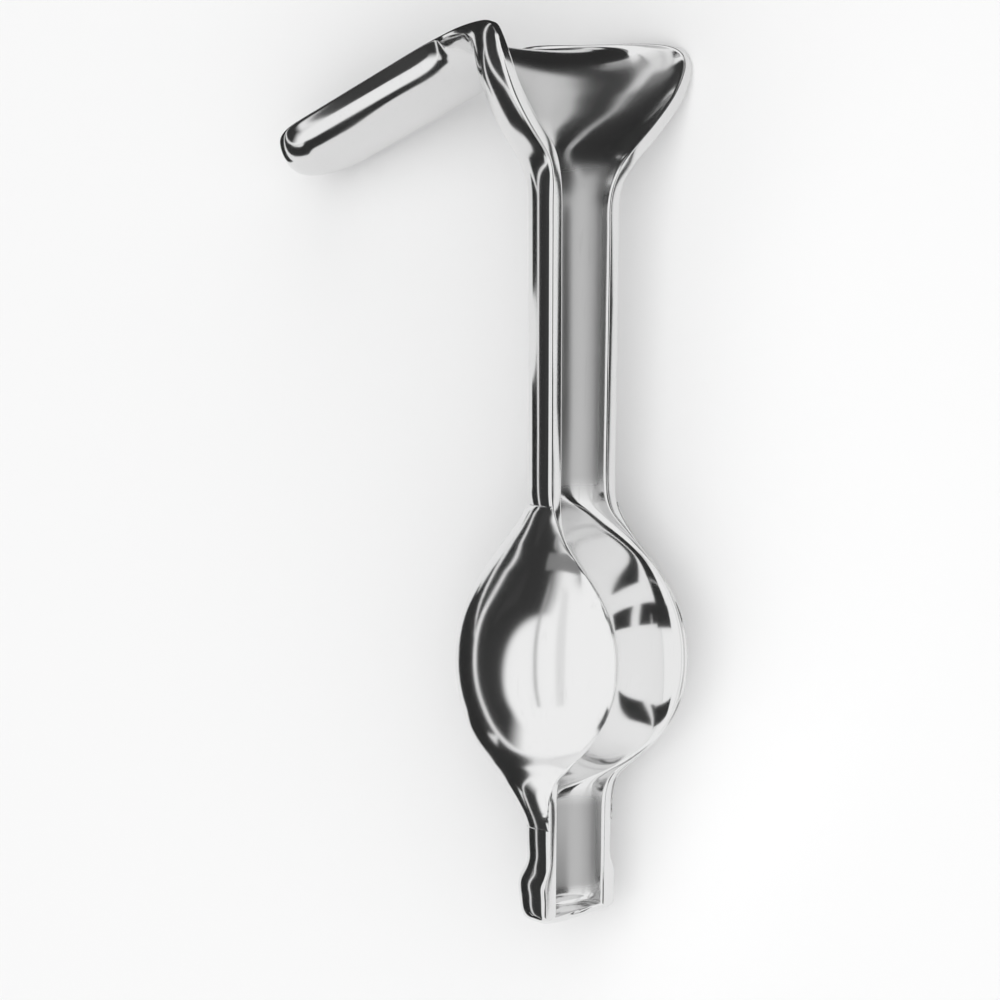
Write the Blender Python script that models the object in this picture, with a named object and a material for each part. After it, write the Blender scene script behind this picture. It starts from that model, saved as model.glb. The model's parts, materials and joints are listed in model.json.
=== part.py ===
"""A weighted vaginal speculum: a blade, flange and gutter pressed in one piece, with an egg-shaped weight.

Everything is laid out in metres in an upright frame: +X is the open side of the gutter, Y runs across it
and +Z points up the handle, with zero at the foot. One empty then lays the finished speculum on its side,
the way it comes to rest.
"""

from dataclasses import dataclass
from math import cos, pi, radians, sin, sqrt

import bmesh
import bpy
from mathutils import Matrix, Vector

# Sizes of the gutter
SHAFT_TOP_RADIUS = 0.0152
SHAFT_BOTTOM_RADIUS = 0.0145
NECK_RADIUS = 0.0141
SHAFT_WALL = 0.0050
NECK_WALL = 0.0040
SHAFT_TOP = 0.1880
SHAFT_BOTTOM = 0.1150
NECK_TOP = 0.0300

# Sizes of the foot
FOOT_RADIUS = 0.0158
FOOT_HEIGHT = 0.0105
FOOT_SHOULDER = 0.0030
FOOT_LIP_WALL = 0.0022
FOOT_LIP_DROP = 0.0024

# Sizes of the flange
WING_HALF_WIDTH = 0.0424
WING_LIFT = 0.0040
WING_TOP = 0.2295
WING_WALL = 0.0042
FUNNEL_DEPTH = 0.0194
CREST_RADIUS = 0.0090
CREST_TOP = 0.2265

# Sizes of the blade
BLADE_HALF_WIDTH = 0.0190
BLADE_SLOPE = radians(23.0)
BLADE_ROOT_BACK = 0.0368
BLADE_ROOT_HEIGHT = 0.2279
BLADE_LENGTH = 0.0670
BLADE_TIP_LENGTH = 0.0160
BLADE_WALL = 0.0030
BLADE_ROOT_DEPTH = 0.0103
BLADE_TIP_DEPTH = 0.0100
BLADE_TIP_FULLNESS = 0.50
BLADE_TIP_BULGE = 0.0034

# Sizes of the weight
WEIGHT_RADIUS = 0.0303
WEIGHT_TOP = 0.1075
WEIGHT_EQUATOR = 0.0676
WEIGHT_BOTTOM = 0.0235
WEIGHT_BACK_SET = 0.0035
WEIGHT_END_WALL = 0.0006
GROOVE_HALF_WIDTH = 0.0163
GROOVE_DEPTH = 0.0056
GROOVE_FLOOR_WALL = 0.0030
GROOVE_RIM_WALL = 0.0010
BRAZE_GAP = 0.0003

# Shares of the radius and of the axis' set-back along the weight, from its top down
WEIGHT_SHARES = (
    (1.00, 0.00, 0.20),
    (0.88, 0.08, 0.60),
    (0.76, 0.22, 0.90),
    (0.58, 0.52, 1.00),
    (0.33, 0.85, 1.00),
    (0.00, 1.00, 1.00),
    (-0.26, 0.91, 1.06),
    (-0.50, 0.61, 1.35),
    (-0.62, 0.36, 1.60),
    (-0.74, 0.13, 1.60),
    (-0.86, 0.02, 1.15),
    (-0.95, 0.00, 0.70),
    (-1.00, 0.00, 0.20),
)

# The gutter's bow over the weight: places as in WEIGHT_SHARES, each with its share of the full bow
BOW_SHARES = (
    (0.95, 0.10),
    (0.88, 0.32),
    (0.80, 0.60),
    (0.70, 0.85),
    (0.58, 1.00),
    (0.45, 1.00),
    (0.30, 1.00),
    (0.15, 1.00),
    (0.00, 1.00),
    (-0.13, 1.00),
    (-0.26, 1.00),
    (-0.38, 1.00),
    (-0.49, 0.96),
    (-0.58, 0.78),
    (-0.66, 0.47),
    (-0.73, 0.18),
    (-0.80, 0.03),
)

# The flange's rims from the blade down: reach, as a share of the blade root's set-back or of the wing's
# lift, share of the half-width, drop below the top, facing in degrees and share of the wall
FLANGE_RIMS = (
    (-0.92, 0.475, 0.0012, -12, 1.00),
    (-0.78, 0.560, 0.0008, -4, 1.00),
    (-0.60, 0.680, 0.0005, 0, 1.00),
    (-0.38, 0.800, 0.0001, 5, 0.95),
    (-0.17, 0.890, -0.0002, 16, 0.80),
    (0.35, 1.000, 0.0011, 40, 0.65),
    (0.95, 1.020, 0.0046, 72, 0.75),
    (1.00, 0.990, 0.0095, 86, 0.95),
    (0.92, 0.900, 0.0160, 90, 1.00),
    (0.75, 0.755, 0.0225, 90, 1.00),
    (0.60, 0.590, 0.0285, 90, 1.00),
    (0.45, 0.430, 0.0340, 90, 1.00),
    (0.12, 0.365, 0.0385, 90, 1.00),
)

# The flange's floor beside those rims: first over the crest, as a turn in degrees with a run back and
# down, then down the funnel, as a share of its depth and a drop below the top
CREST_FLOORS = (
    (-23, 0.0055, 0.0028),
    (-23, 0.0020, 0.0010),
    (-10, 0.0, 0.0),
    (15, 0.0, 0.0),
    (42, 0.0, 0.0),
    (68, 0.0, 0.0),
    (90, 0.0, 0.0),
)
FUNNEL_FLOORS = (
    (1.000, 0.0150),
    (1.000, 0.0180),
    (1.000, 0.0235),
    (0.955, 0.0290),
    (0.875, 0.0342),
    (0.800, 0.0385),
)

# The foot's lip: the rim's height as a share of the foot's, the floor's reach back and its height's share
LIP_SHARES = (
    (0.50, 0.99, 0.42),
    (0.36, 0.95, 0.20),
    (0.27, 0.84, 0.07),
    (0.20, 0.60, 0.02),
    (0.15, 0.36, 0.00),
)

# Where the straight stretches of the blade and the shaft are cut, as shares of their length
BLADE_CUTS = (0.85, 0.65, 0.45, 0.25, 0.08)
SHAFT_CUTS = (0.0, 0.1, 0.35, 0.65, 0.9, 1.0)

# How finely the sections are cut
ARC_STEPS = 18
TIP_STEPS = 9
ROUND_STEPS = 4
WEIGHT_SIDES = 56
WEIGHT_ROWS = 30
EDGE_CHAMFER = 0.0005
CUTTER_REACH = 0.0600
CUTTER_OVERLAP = 0.0080
SECTION_SPACING = 0.0042


@dataclass
class Section:
    """One cross-section of the pressed piece: its outer rim and outer floor, with the wall at each."""

    rim: Vector
    floor: Vector
    rim_wall: float
    floor_wall: float
    facing: float


def between(knots, values, at):
    """The value at a place on the smooth curve that passes through the values at the knots."""
    last = len(knots) - 1
    span = max(0, min(last - 1, sum(1 for knot in knots[1:-1] if knot <= at)))

    def slope(i):
        if i == 0:
            return (values[1] - values[0]) / (knots[1] - knots[0])
        if i == last:
            return (values[last] - values[last - 1]) / (knots[last] - knots[last - 1])
        before, after = knots[i] - knots[i - 1], knots[i + 1] - knots[i]
        left = (values[i] - values[i - 1]) / before
        right = (values[i + 1] - values[i]) / after
        return (left * after + right * before) / (before + after)

    width = knots[span + 1] - knots[span]
    t = (at - knots[span]) / width
    start, end = values[span], values[span + 1]
    return (
        start * (2 * t**3 - 3 * t**2 + 1)
        + slope(span) * width * (t**3 - 2 * t**2 + t)
        + end * (3 * t**2 - 2 * t**3)
        + slope(span + 1) * width * (t**3 - t**2)
    )


def weight_circle(height):
    """The axis' place in X and the radius of the weight's round section at a height."""
    upper, lower = WEIGHT_TOP - WEIGHT_EQUATOR, WEIGHT_EQUATOR - WEIGHT_BOTTOM
    heights = [WEIGHT_EQUATOR + share * (upper if share > 0 else lower) for share, _, _ in WEIGHT_SHARES]
    radii = []
    for place, share, _ in WEIGHT_SHARES:
        end = SHAFT_BOTTOM_RADIUS if place > 0 else NECK_RADIUS
        radii.append(end + share * (WEIGHT_RADIUS - end))
    axes = [-WEIGHT_BACK_SET * share for _, _, share in WEIGHT_SHARES]
    heights, radii, axes = heights[::-1], radii[::-1], axes[::-1]
    return between(heights, axes, height), between(heights, radii, height)


def belly_section(height, share):
    """The gutter where it bows over the weight, with its rims on the weight's own surface."""
    axis, radius = weight_circle(height)
    end, end_wall = (SHAFT_BOTTOM_RADIUS, SHAFT_WALL) if height > WEIGHT_EQUATOR else (NECK_RADIUS, NECK_WALL)
    half_width = end * (1 - share) + GROOVE_HALF_WIDTH * share
    half_width = min(half_width, radius * 0.985)
    forward = max(0.0, axis + sqrt(radius**2 - half_width**2)) * min(1.0, 3.0 * share)
    rim_wall = end_wall * (1 - share) ** 2 + GROOVE_RIM_WALL * (1 - (1 - share) ** 2)
    floor_wall = end_wall * (1 - share) + GROOVE_FLOOR_WALL * share
    depth = end * (1 - share) + (GROOVE_DEPTH + GROOVE_FLOOR_WALL) * share
    return Section(
        Vector((forward, half_width, height)),
        Vector((forward - depth, 0.0, height)),
        rim_wall,
        floor_wall,
        pi / 2,
    )


def gutter_section(height, radius, wall):
    """A half-round section of the gutter."""
    return Section(Vector((0.0, radius, height)), Vector((-radius, 0.0, height)), wall, wall, pi / 2)


def blade_sections():
    """The blade from its spoon-shaped tip to its root."""
    along = Vector((-cos(BLADE_SLOPE), 0.0, -sin(BLADE_SLOPE)))
    upward = Vector((-sin(BLADE_SLOPE), 0.0, cos(BLADE_SLOPE)))
    root = Vector((-BLADE_ROOT_BACK, 0.0, BLADE_ROOT_HEIGHT))
    straight = BLADE_LENGTH - BLADE_TIP_LENGTH
    sections = []
    for step in range(TIP_STEPS + 1):
        angle = pi / 2 * (step / TIP_STEPS) ** 1.4
        reach = straight + BLADE_TIP_LENGTH * cos(angle)
        rim = root + along * reach
        rim.y = BLADE_HALF_WIDTH * sin(angle)
        bulge = BLADE_TIP_BULGE * max(0.0, sin(2 * angle)) ** BLADE_TIP_FULLNESS
        floor = root + along * (reach + bulge) - upward * BLADE_TIP_DEPTH * sin(angle) ** BLADE_TIP_FULLNESS
        sections.append(Section(rim, floor, BLADE_WALL, BLADE_WALL, -BLADE_SLOPE))
    for share in BLADE_CUTS:
        depth = BLADE_TIP_DEPTH * share + BLADE_ROOT_DEPTH * (1 - share)
        middle = root + along * straight * share
        rim = middle + Vector((0.0, BLADE_HALF_WIDTH, 0.0))
        sections.append(Section(rim, middle - upward * depth, BLADE_WALL, BLADE_WALL, -BLADE_SLOPE))
    return sections


def flange_sections():
    """The rolled crest, the wings and the funnel that leads down into the gutter."""
    fillet = CREST_RADIUS - WING_WALL
    floors = []
    for turn, back, down in CREST_FLOORS:
        angle = radians(turn)
        x = -FUNNEL_DEPTH - fillet + fillet * sin(angle) - back
        floors.append(Vector((x, 0.0, CREST_TOP - CREST_RADIUS + fillet * cos(angle) - down)))
    for share, drop in FUNNEL_FLOORS:
        floors.append(Vector((-FUNNEL_DEPTH * share, 0.0, WING_TOP - drop)))
    sections = []
    for (reach, width, drop, turn, wall), floor in zip(FLANGE_RIMS, floors):
        x = reach * (BLADE_ROOT_BACK if reach < 0 else WING_LIFT)
        rim = Vector((x, WING_HALF_WIDTH * width, WING_TOP - drop))
        sections.append(Section(rim, floor, WING_WALL * wall, WING_WALL, radians(turn)))
    return sections


def handle_sections():
    """The straight gutter, its bow over the weight, the neck and the flared foot."""
    sections = []
    for share in SHAFT_CUTS:
        height = SHAFT_TOP * (1 - share) + SHAFT_BOTTOM * share
        radius = SHAFT_TOP_RADIUS * (1 - share) + SHAFT_BOTTOM_RADIUS * share
        sections.append(gutter_section(height, radius, SHAFT_WALL))
    upper, lower = WEIGHT_TOP - WEIGHT_EQUATOR, WEIGHT_EQUATOR - WEIGHT_BOTTOM
    for place, share in BOW_SHARES:
        height = WEIGHT_EQUATOR + place * (upper if place > 0 else lower)
        sections.append(belly_section(height, share))
    for height in (NECK_TOP - 0.003, (NECK_TOP + FOOT_HEIGHT) / 2, FOOT_HEIGHT + FOOT_SHOULDER):
        sections.append(gutter_section(height, NECK_RADIUS, NECK_WALL))
    foot_wall = NECK_WALL + FOOT_RADIUS - NECK_RADIUS
    sections.append(gutter_section(FOOT_HEIGHT, FOOT_RADIUS, foot_wall))
    for rim_share, reach, floor_share in LIP_SHARES:
        section = gutter_section(FOOT_HEIGHT * rim_share, FOOT_RADIUS, foot_wall)
        floor_height = FOOT_HEIGHT * floor_share - FOOT_LIP_DROP * (1 - floor_share)
        section.floor = Vector((-FOOT_RADIUS * reach, 0.0, floor_height))
        section.floor_wall = foot_wall + (FOOT_LIP_WALL - foot_wall) * min(1.0, (1.0 - reach) * 6.0)
        sections.append(section)
    return sections


def cross_section(sections, i):
    """The outer rim, outer floor, inner rim and inner floor of one section, with its walls laid off."""
    here = sections[i]
    before, after = sections[max(0, i - 1)], sections[min(len(sections) - 1, i + 1)]
    path = after.rim - before.rim
    if here.rim.y < 1e-6:
        path = Vector((0.0, 1.0, 0.0))
    face = Vector((sin(here.facing), 0.0, cos(here.facing)))
    inward = face.cross(path).normalized()
    if inward.y > 0:
        inward.negate()
    run = after.floor - before.floor
    wet = Vector((-run.z, 0.0, run.x)).normalized()
    if i == 0:
        inward = wet = Vector((cos(BLADE_SLOPE), 0.0, sin(BLADE_SLOPE)))
    inner_rim = here.rim + inward * here.rim_wall
    inner_floor = here.floor + wet * here.floor_wall
    return here.rim, here.floor, inner_rim, inner_floor


def arc(rim, floor, steps):
    """Points of the quarter-ellipse pair from the near rim under the floor to the far rim."""
    rise = Vector((rim.x - floor.x, 0.0, rim.z - floor.z))
    points = []
    for step in range(steps + 1):
        angle = -pi / 2 + pi * step / steps
        points.append(floor + rise * (1 - cos(angle)) + Vector((0.0, rim.y * sin(angle), 0.0)))
    return points


def loop_points(rim, floor, inner_rim, inner_floor, chamfer):
    """One closed section: the outer arc, the far rim, the inner arc back and the near rim."""
    outer = arc(rim, floor, ARC_STEPS)
    inner = arc(inner_rim, inner_floor, ARC_STEPS)
    width = (inner_rim - rim).length
    cut = min(chamfer, width * 0.3)
    points = []
    for side in (outer, inner[::-1]):
        start, end = side[0].copy(), side[-1].copy()
        points.append(start.lerp(side[1], min(0.9, cut / max(1e-6, (side[1] - start).length))))
        points += side[1:-1]
        points.append(end.lerp(side[-2], min(0.9, cut / max(1e-6, (side[-2] - end).length))))
        opposite = inner[-1] if side is outer else outer[0]
        own = side[-1]
        share = cut / max(1e-6, (opposite - own).length)
        points.append(own.lerp(opposite, share))
        points.append(own.lerp(opposite, 1 - share))
    return points


def refined(sections, spacing):
    """The sections with more of them added along the smooth curves through them."""
    knots = [0.0]
    for one, two in zip(sections, sections[1:]):
        step = max((two.rim - one.rim).length, (two.floor - one.floor).length, 0.0004)
        knots.append(knots[-1] + step)
    fine = []
    for i in range(len(sections) - 1):
        count = max(1, round((knots[i + 1] - knots[i]) / spacing))
        for step in range(count):
            at = knots[i] + (knots[i + 1] - knots[i]) * step / count
            fine.append(
                Section(
                    between(knots, [s.rim for s in sections], at),
                    between(knots, [s.floor for s in sections], at),
                    between(knots, [s.rim_wall for s in sections], at),
                    between(knots, [s.floor_wall for s in sections], at),
                    between(knots, [s.facing for s in sections], at),
                )
            )
    return fine + [sections[-1]]


def skin(name, rows):
    """A mesh through rows of equal loops, open at its two ends."""
    mesh = bpy.data.meshes.new(name)
    build = bmesh.new()
    loops = [[build.verts.new(point) for point in row] for row in rows]
    count = len(loops[0])
    for one, two in zip(loops, loops[1:]):
        for j in range(count):
            k = (j + 1) % count
            build.faces.new((one[j], one[k], two[k], two[j]))
    bmesh.ops.remove_doubles(build, verts=build.verts, dist=1e-6)
    bmesh.ops.recalc_face_normals(build, faces=build.faces)
    build.to_mesh(mesh)
    build.free()
    return mesh


def rounded_end(before, section_loop, wall):
    """Rows that round the foot's end off along the way the wall runs there."""
    rows = []
    for step in range(1, ROUND_STEPS + 1):
        angle = pi / 2 * step / ROUND_STEPS
        row = []
        for j, point in enumerate(section_loop):
            mate = section_loop[(len(section_loop) - 4 - j) % len(section_loop)]
            middle = point.lerp(mate, 0.5)
            moved = middle.lerp(point, max(cos(angle), 0.12))
            ahead = ((point - before[j]) + (mate - before[(len(before) - 4 - j) % len(before)])).normalized()
            row.append(moved + ahead * (wall / 2 * sin(angle)))
        rows.append(row)
    return rows


def gutter_mesh():
    """The pressed piece: blade, flange and gutter in one closed shell."""
    coarse = blade_sections() + flange_sections() + handle_sections()
    tip = coarse[: TIP_STEPS + 1]
    sections = tip[:-1] + refined(coarse[TIP_STEPS:], SECTION_SPACING)
    rows = []
    for i in range(len(sections)):
        rim, floor, inner_rim, inner_floor = cross_section(sections, i)
        rows.append(loop_points(rim, floor, inner_rim, inner_floor, EDGE_CHAMFER))
    rows += rounded_end(rows[-2], rows[-1], FOOT_LIP_WALL)
    return capped(skin("blade_and_gutter", rows))


def material(name, colour, roughness):
    """A polished steel."""
    made = bpy.data.materials.new(name)
    made.use_nodes = True
    shader = made.node_tree.nodes["Principled BSDF"]
    shader.inputs["Base Color"].default_value = colour
    shader.inputs["Metallic"].default_value = 1.0
    shader.inputs["Roughness"].default_value = roughness
    return made


def add_object(name, mesh, collection, finish=None):
    """An object in a collection, shaded smooth but for its sharp edges."""
    made = bpy.data.objects.new(name, mesh)
    collection.objects.link(made)
    mesh.shade_smooth()
    mesh.set_sharp_from_angle(angle=radians(35.0))
    if finish:
        mesh.materials.append(finish)
    return made


def new_collection(name):
    """A collection under the scene's own."""
    made = bpy.data.collections.new(name)
    bpy.context.scene.collection.children.link(made)
    return made


def ring(centre_x, radius, height):
    """A level circle of points round the weight's axis."""
    angles = [2 * pi * i / WEIGHT_SIDES for i in range(WEIGHT_SIDES)]
    return [Vector((centre_x + radius * cos(angle), radius * sin(angle), height)) for angle in angles]


def weight_mesh():
    """The whole egg-shaped body before the gutter's bed is cut into it."""
    upper, lower = WEIGHT_TOP - WEIGHT_EQUATOR, WEIGHT_EQUATOR - WEIGHT_BOTTOM
    rows = []
    for step in range(WEIGHT_ROWS + 1):
        angle = pi * (0.03 + 0.92 * step / WEIGHT_ROWS)
        place = cos(angle) * (1 - 0.18 * sin(angle) ** 2)
        height = WEIGHT_EQUATOR + place * (upper if place > 0 else lower)
        axis, radius = weight_circle(height)
        rows.append(ring(axis, radius + WEIGHT_END_WALL, height))
    return capped(skin("weight", rows))


def capped(mesh):
    """The mesh with its open ends filled by flat faces."""
    build = bmesh.new()
    build.from_mesh(mesh)
    bmesh.ops.holes_fill(build, edges=[edge for edge in build.edges if edge.is_boundary])
    bmesh.ops.recalc_face_normals(build, faces=build.faces)
    build.to_mesh(mesh)
    build.free()
    return mesh


def bed_cutter_mesh():
    """What the gutter and its braze gap take out of the weight, and all that lies in front of them."""
    sections = refined(handle_sections(), SECTION_SPACING)
    rows = []
    for section in sections:
        if not WEIGHT_BOTTOM - CUTTER_OVERLAP < section.rim.z < WEIGHT_TOP + CUTTER_OVERLAP:
            continue
        rim = section.rim + Vector((0.0, BRAZE_GAP, 0.0))
        floor = section.floor - Vector((BRAZE_GAP, 0.0, 0.0))
        bed = arc(rim, floor, ARC_STEPS)
        aside = Vector((0.0, CUTTER_REACH, 0.0))
        ahead = Vector((CUTTER_REACH, 0.0, 0.0))
        near, far = bed[0] - aside, bed[-1] + aside
        rows.append([near + ahead, near] + bed + [far, far + ahead])
    return capped(skin("gutter_bed", rows))


def solid_of(made):
    """The points, volume and centre of mass of an object as it is evaluated."""
    evaluated = made.evaluated_get(bpy.context.evaluated_depsgraph_get())
    mesh = evaluated.to_mesh()
    mesh.calc_loop_triangles()
    points = [vertex.co.copy() for vertex in mesh.vertices]
    volume, moment = 0.0, Vector()
    for triangle in mesh.loop_triangles:
        a, b, c = (points[i] for i in triangle.vertices)
        share = a.dot(b.cross(c)) / 6
        volume += share
        moment += (a + b + c) * share / 4
    evaluated.to_mesh_clear()
    return points, volume, moment / volume


def resting_turn(pieces):
    """The turn that lays the speculum on its far side, on the three points that then carry it."""
    solids = [solid_of(piece) for piece in pieces]
    whole = sum(volume for _, volume, _ in solids)
    centre = sum((volume * middle for _, volume, middle in solids), Vector()) / whole
    hull = bmesh.new()
    for points, _, _ in solids:
        for point in points:
            hull.verts.new(point)
    bmesh.ops.convex_hull(hull, input=hull.verts)
    hull.normal_update()
    below = []
    for face in hull.faces:
        normal = face.normal if face.normal.dot(face.calc_center_median() - centre) > 0 else -face.normal
        corners = [loop.vert.co for loop in face.loops]
        foot = centre + normal * (corners[0] - centre).dot(normal)
        edges = zip(corners, corners[1:] + corners[:1])
        crosses = [(two - one).cross(foot - one).dot(face.normal) for one, two in edges]
        if normal.y > 0.5 and (min(crosses) > 0 or max(crosses) < 0):
            below.append((face.calc_area(), normal.copy()))
    down = max(below, key=lambda found: found[0])[1]
    hull.free()
    across = Vector((0.0, 0.0, 1.0))
    ahead = (across - across.dot(down) * down).normalized()
    side = ahead.cross(-down)
    return Matrix((side, ahead, -down)).to_4x4()


def lay_down(pieces, cutters, parts):
    """Parents all to an empty that lays the pieces down, centred over the origin and touching the ground."""
    turn = resting_turn(pieces)
    placed = [turn @ point for piece in pieces for point in solid_of(piece)[0]]
    low = [min(point[i] for point in placed) for i in range(3)]
    high = [max(point[i] for point in placed) for i in range(3)]
    rest = bpy.data.objects.new("resting_place", None)
    parts.objects.link(rest)
    shift = Matrix.Translation((-(low[0] + high[0]) / 2, -(low[1] + high[1]) / 2, -low[2]))
    rest.matrix_world = shift @ turn
    for made in pieces + cutters:
        made.parent = rest


def main():
    """Builds the two pieces and lays them on their side."""
    for old in list(bpy.data.objects):
        bpy.data.objects.remove(old, do_unlink=True)
    parts, cutters = new_collection("weighted_speculum"), new_collection("cutters")
    steel = material("polished_steel", (0.62, 0.62, 0.63, 1.0), 0.12)
    ground = material("ground_steel", (0.66, 0.66, 0.67, 1.0), 0.15)
    gutter = add_object("blade_and_gutter", gutter_mesh(), parts, steel)
    bed = add_object("gutter_bed", bed_cutter_mesh(), cutters)
    bed.hide_render = True
    bed.display_type = "WIRE"
    weight = add_object("weight", weight_mesh(), parts, ground)
    cut = weight.modifiers.new("gutter_bed", "BOOLEAN")
    cut.object = bed
    cut.operation = "DIFFERENCE"
    bpy.context.view_layer.update()
    lay_down([gutter, weight], [bed], parts)


main()
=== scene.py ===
"""The looks of a weighted vaginal speculum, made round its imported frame.

The speculum is drawn upright, as its solids were: +X is the open side of the gutter, Y runs across it and
+Z points up the handle, with zero at the foot. The resting place then lays the finished pieces down where
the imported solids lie.
"""

import json
import logging
from collections.abc import Iterable
from dataclasses import dataclass, field
from enum import Enum
from math import cos, pi, radians, sin, sqrt

import bmesh
import bpy
import numpy as np
from mathutils import Matrix, Vector


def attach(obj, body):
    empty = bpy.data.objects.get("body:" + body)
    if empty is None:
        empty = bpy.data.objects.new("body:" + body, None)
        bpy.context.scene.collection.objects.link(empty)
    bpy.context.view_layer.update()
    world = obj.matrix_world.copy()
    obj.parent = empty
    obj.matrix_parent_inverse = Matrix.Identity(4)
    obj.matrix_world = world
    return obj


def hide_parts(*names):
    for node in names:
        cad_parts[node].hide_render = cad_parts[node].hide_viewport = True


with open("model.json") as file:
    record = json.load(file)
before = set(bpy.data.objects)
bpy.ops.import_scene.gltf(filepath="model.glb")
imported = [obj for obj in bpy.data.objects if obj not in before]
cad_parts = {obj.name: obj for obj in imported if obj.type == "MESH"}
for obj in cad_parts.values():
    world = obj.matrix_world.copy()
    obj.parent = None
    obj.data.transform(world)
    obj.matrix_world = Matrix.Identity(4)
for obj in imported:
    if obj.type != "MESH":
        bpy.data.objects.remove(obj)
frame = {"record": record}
log = logging.getLogger("speculum")

ROOT = "root"
MERGE_REACH = 1e-6
MIX_SHARE, MIX_FIRST, MIX_SECOND, MIX_RESULT = 0, 6, 7, 2
SECTION_SIZES = ("height", "axis", "radius", "rim", "half_width", "rise", "presence")
TABLE_LIFT = 0.0006
BLACK = 0.03
WHITE = (1.0, 1.0, 1.0, 1.0)

Socket = bpy.types.NodeSocket
Tree = bpy.types.NodeTree


class Stretch(Enum):
    """How far the curves are eased along each stretch of the pressed piece, in metres."""

    BODY = 0.0030
    FOOT = 0.0011


def feed(tree: Tree, sockets: Iterable[Socket], values: Iterable[object]) -> None:
    """Links each value to its socket in the tree, or sets the socket to it where it is no socket."""
    for socket, value in zip(sockets, values):
        if isinstance(value, Socket):
            tree.links.new(value, socket)
        else:
            socket.default_value = value


def node_in(tree: Tree, kind: str, **inputs: object) -> bpy.types.Node:
    """A new node with some of its inputs linked or set by their names, with _ for a space."""
    made = tree.nodes.new(kind)
    feed(tree, [made.inputs[name.replace("_", " ")] for name in inputs], inputs.values())
    return made


def maths_in(tree: Tree, operation: str, *values: Socket | float) -> Socket:
    """The result of a new maths node on sockets or numbers."""
    made = tree.nodes.new("ShaderNodeMath")
    made.operation = operation
    feed(tree, made.inputs, values)
    return made.outputs[0]


def name_sockets(tree: Tree, way: str, kinds: dict[str, str]) -> None:
    """Gives the tree inputs or outputs with these names and kinds."""
    for name, kind in kinds.items():
        tree.interface.new_socket(name, in_out=way, socket_type=f"NodeSocket{kind}")


def between(one: float, two: float, share: float) -> float:
    """The mix of two numbers, with the share of the second."""
    return one * (1 - share) + two * share


def fade(values: np.ndarray, start: float, end: float) -> np.ndarray:
    """How far the values are on the way from start to end, from nought to one."""
    return np.clip((values - start) / (end - start), 0.0, 1.0)


@dataclass
class Section:
    """One cross-section of the pressed piece.

    Attributes:
        rim: The outer corner of the far rim.
        floor: The lowest point of the outer side, in the middle plane.
        rim_wall: The wall's thickness at the rim.
        floor_wall: The wall's thickness at the floor.
        facing: The way the flat of the rim faces, as an angle from up towards the front.
    """

    rim: Vector
    floor: Vector
    rim_wall: float
    floor_wall: float
    facing: float

    def values(self) -> list[float]:
        """The numbers that are eased along the piece."""
        return [*self.rim, *self.floor, self.rim_wall, self.floor_wall, self.facing]


def section_of(values: np.ndarray) -> Section:
    """The section with these numbers.

    Args:
        values: The numbers in the order of Section.values.

    Returns:
        The section.
    """
    rim, floor = Vector(values[:3].tolist()), Vector(values[3:6].tolist())
    return Section(rim, floor, float(values[6]), float(values[7]), float(values[8]))


def through(knots: np.ndarray, values: np.ndarray, places: np.ndarray) -> np.ndarray:
    """Points of the smooth curve through the values at the knots.

    Args:
        knots: Rising places, one for each row of values.
        values: One row of numbers for each knot.
        places: The places asked for.

    Returns:
        One row of numbers for each place.
    """
    steps = np.diff(knots)[:, None]
    slopes = np.diff(values, axis=0) / steps
    inner = (slopes[:-1] * steps[1:] + slopes[1:] * steps[:-1]) / (steps[:-1] + steps[1:])
    tangents = np.concatenate([slopes[:1], inner, slopes[-1:]])
    span = np.clip(np.searchsorted(knots, places, side="right") - 1, 0, len(knots) - 2)
    width = steps[span]
    t = ((places - knots[span]) / steps[span, 0])[:, None]
    start, end = values[span], values[span + 1]
    return (
        start * (2 * t**3 - 3 * t**2 + 1)
        + tangents[span] * width * (t**3 - 2 * t**2 + t)
        + end * (3 * t**2 - 2 * t**3)
        + tangents[span + 1] * width * (t**3 - t**2)
    )


@dataclass
class Weight:
    """The egg-shaped body that is brazed to the back of the lower gutter.

    Attributes:
        shares: Places down the body from its equator, with their shares of the radius and the set-back.
    """

    radius: float = 0.0303
    top: float = 0.1075
    equator: float = 0.0676
    bottom: float = 0.0235
    back_set: float = 0.0035
    seam: float = 0.00006
    edge_wall: float = 0.00004
    end_round: float = 0.0012
    rim_blend: float = 0.0004
    rows: int = 150
    columns: int = 150
    shares: tuple[tuple[float, float, float], ...] = (
        (1.00, 0.00, 0.00),
        (0.88, 0.08, 0.50),
        (0.76, 0.22, 0.90),
        (0.58, 0.52, 1.00),
        (0.33, 0.85, 1.00),
        (0.00, 1.00, 1.00),
        (-0.26, 0.91, 1.06),
        (-0.50, 0.61, 1.35),
        (-0.62, 0.36, 1.60),
        (-0.74, 0.13, 1.60),
        (-0.86, 0.02, 0.95),
        (-0.95, 0.00, 0.28),
        (-1.00, 0.00, 0.00),
    )

    def height(self, place: float) -> float:
        """The height of a place above or below the equator, given as a share."""
        return self.equator + place * (self.top - self.equator if place > 0 else self.equator - self.bottom)

    def circles(self, heights: np.ndarray, top_radius: float, bottom_radius: float) -> np.ndarray:
        """The body's round sections.

        Args:
            heights: The heights asked for.
            top_radius: The gutter's radius above the body.
            bottom_radius: The gutter's radius below it.

        Returns:
            A row for each height: the axis' place in X, and the radius.
        """
        knots, values = [], []
        for place, share, back in reversed(self.shares):
            end = top_radius if place > 0 else bottom_radius
            knots.append(self.height(place))
            values.append([-self.back_set * back, end + share * (self.radius - end)])
        return through(np.array(knots), np.array(values), heights)


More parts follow.
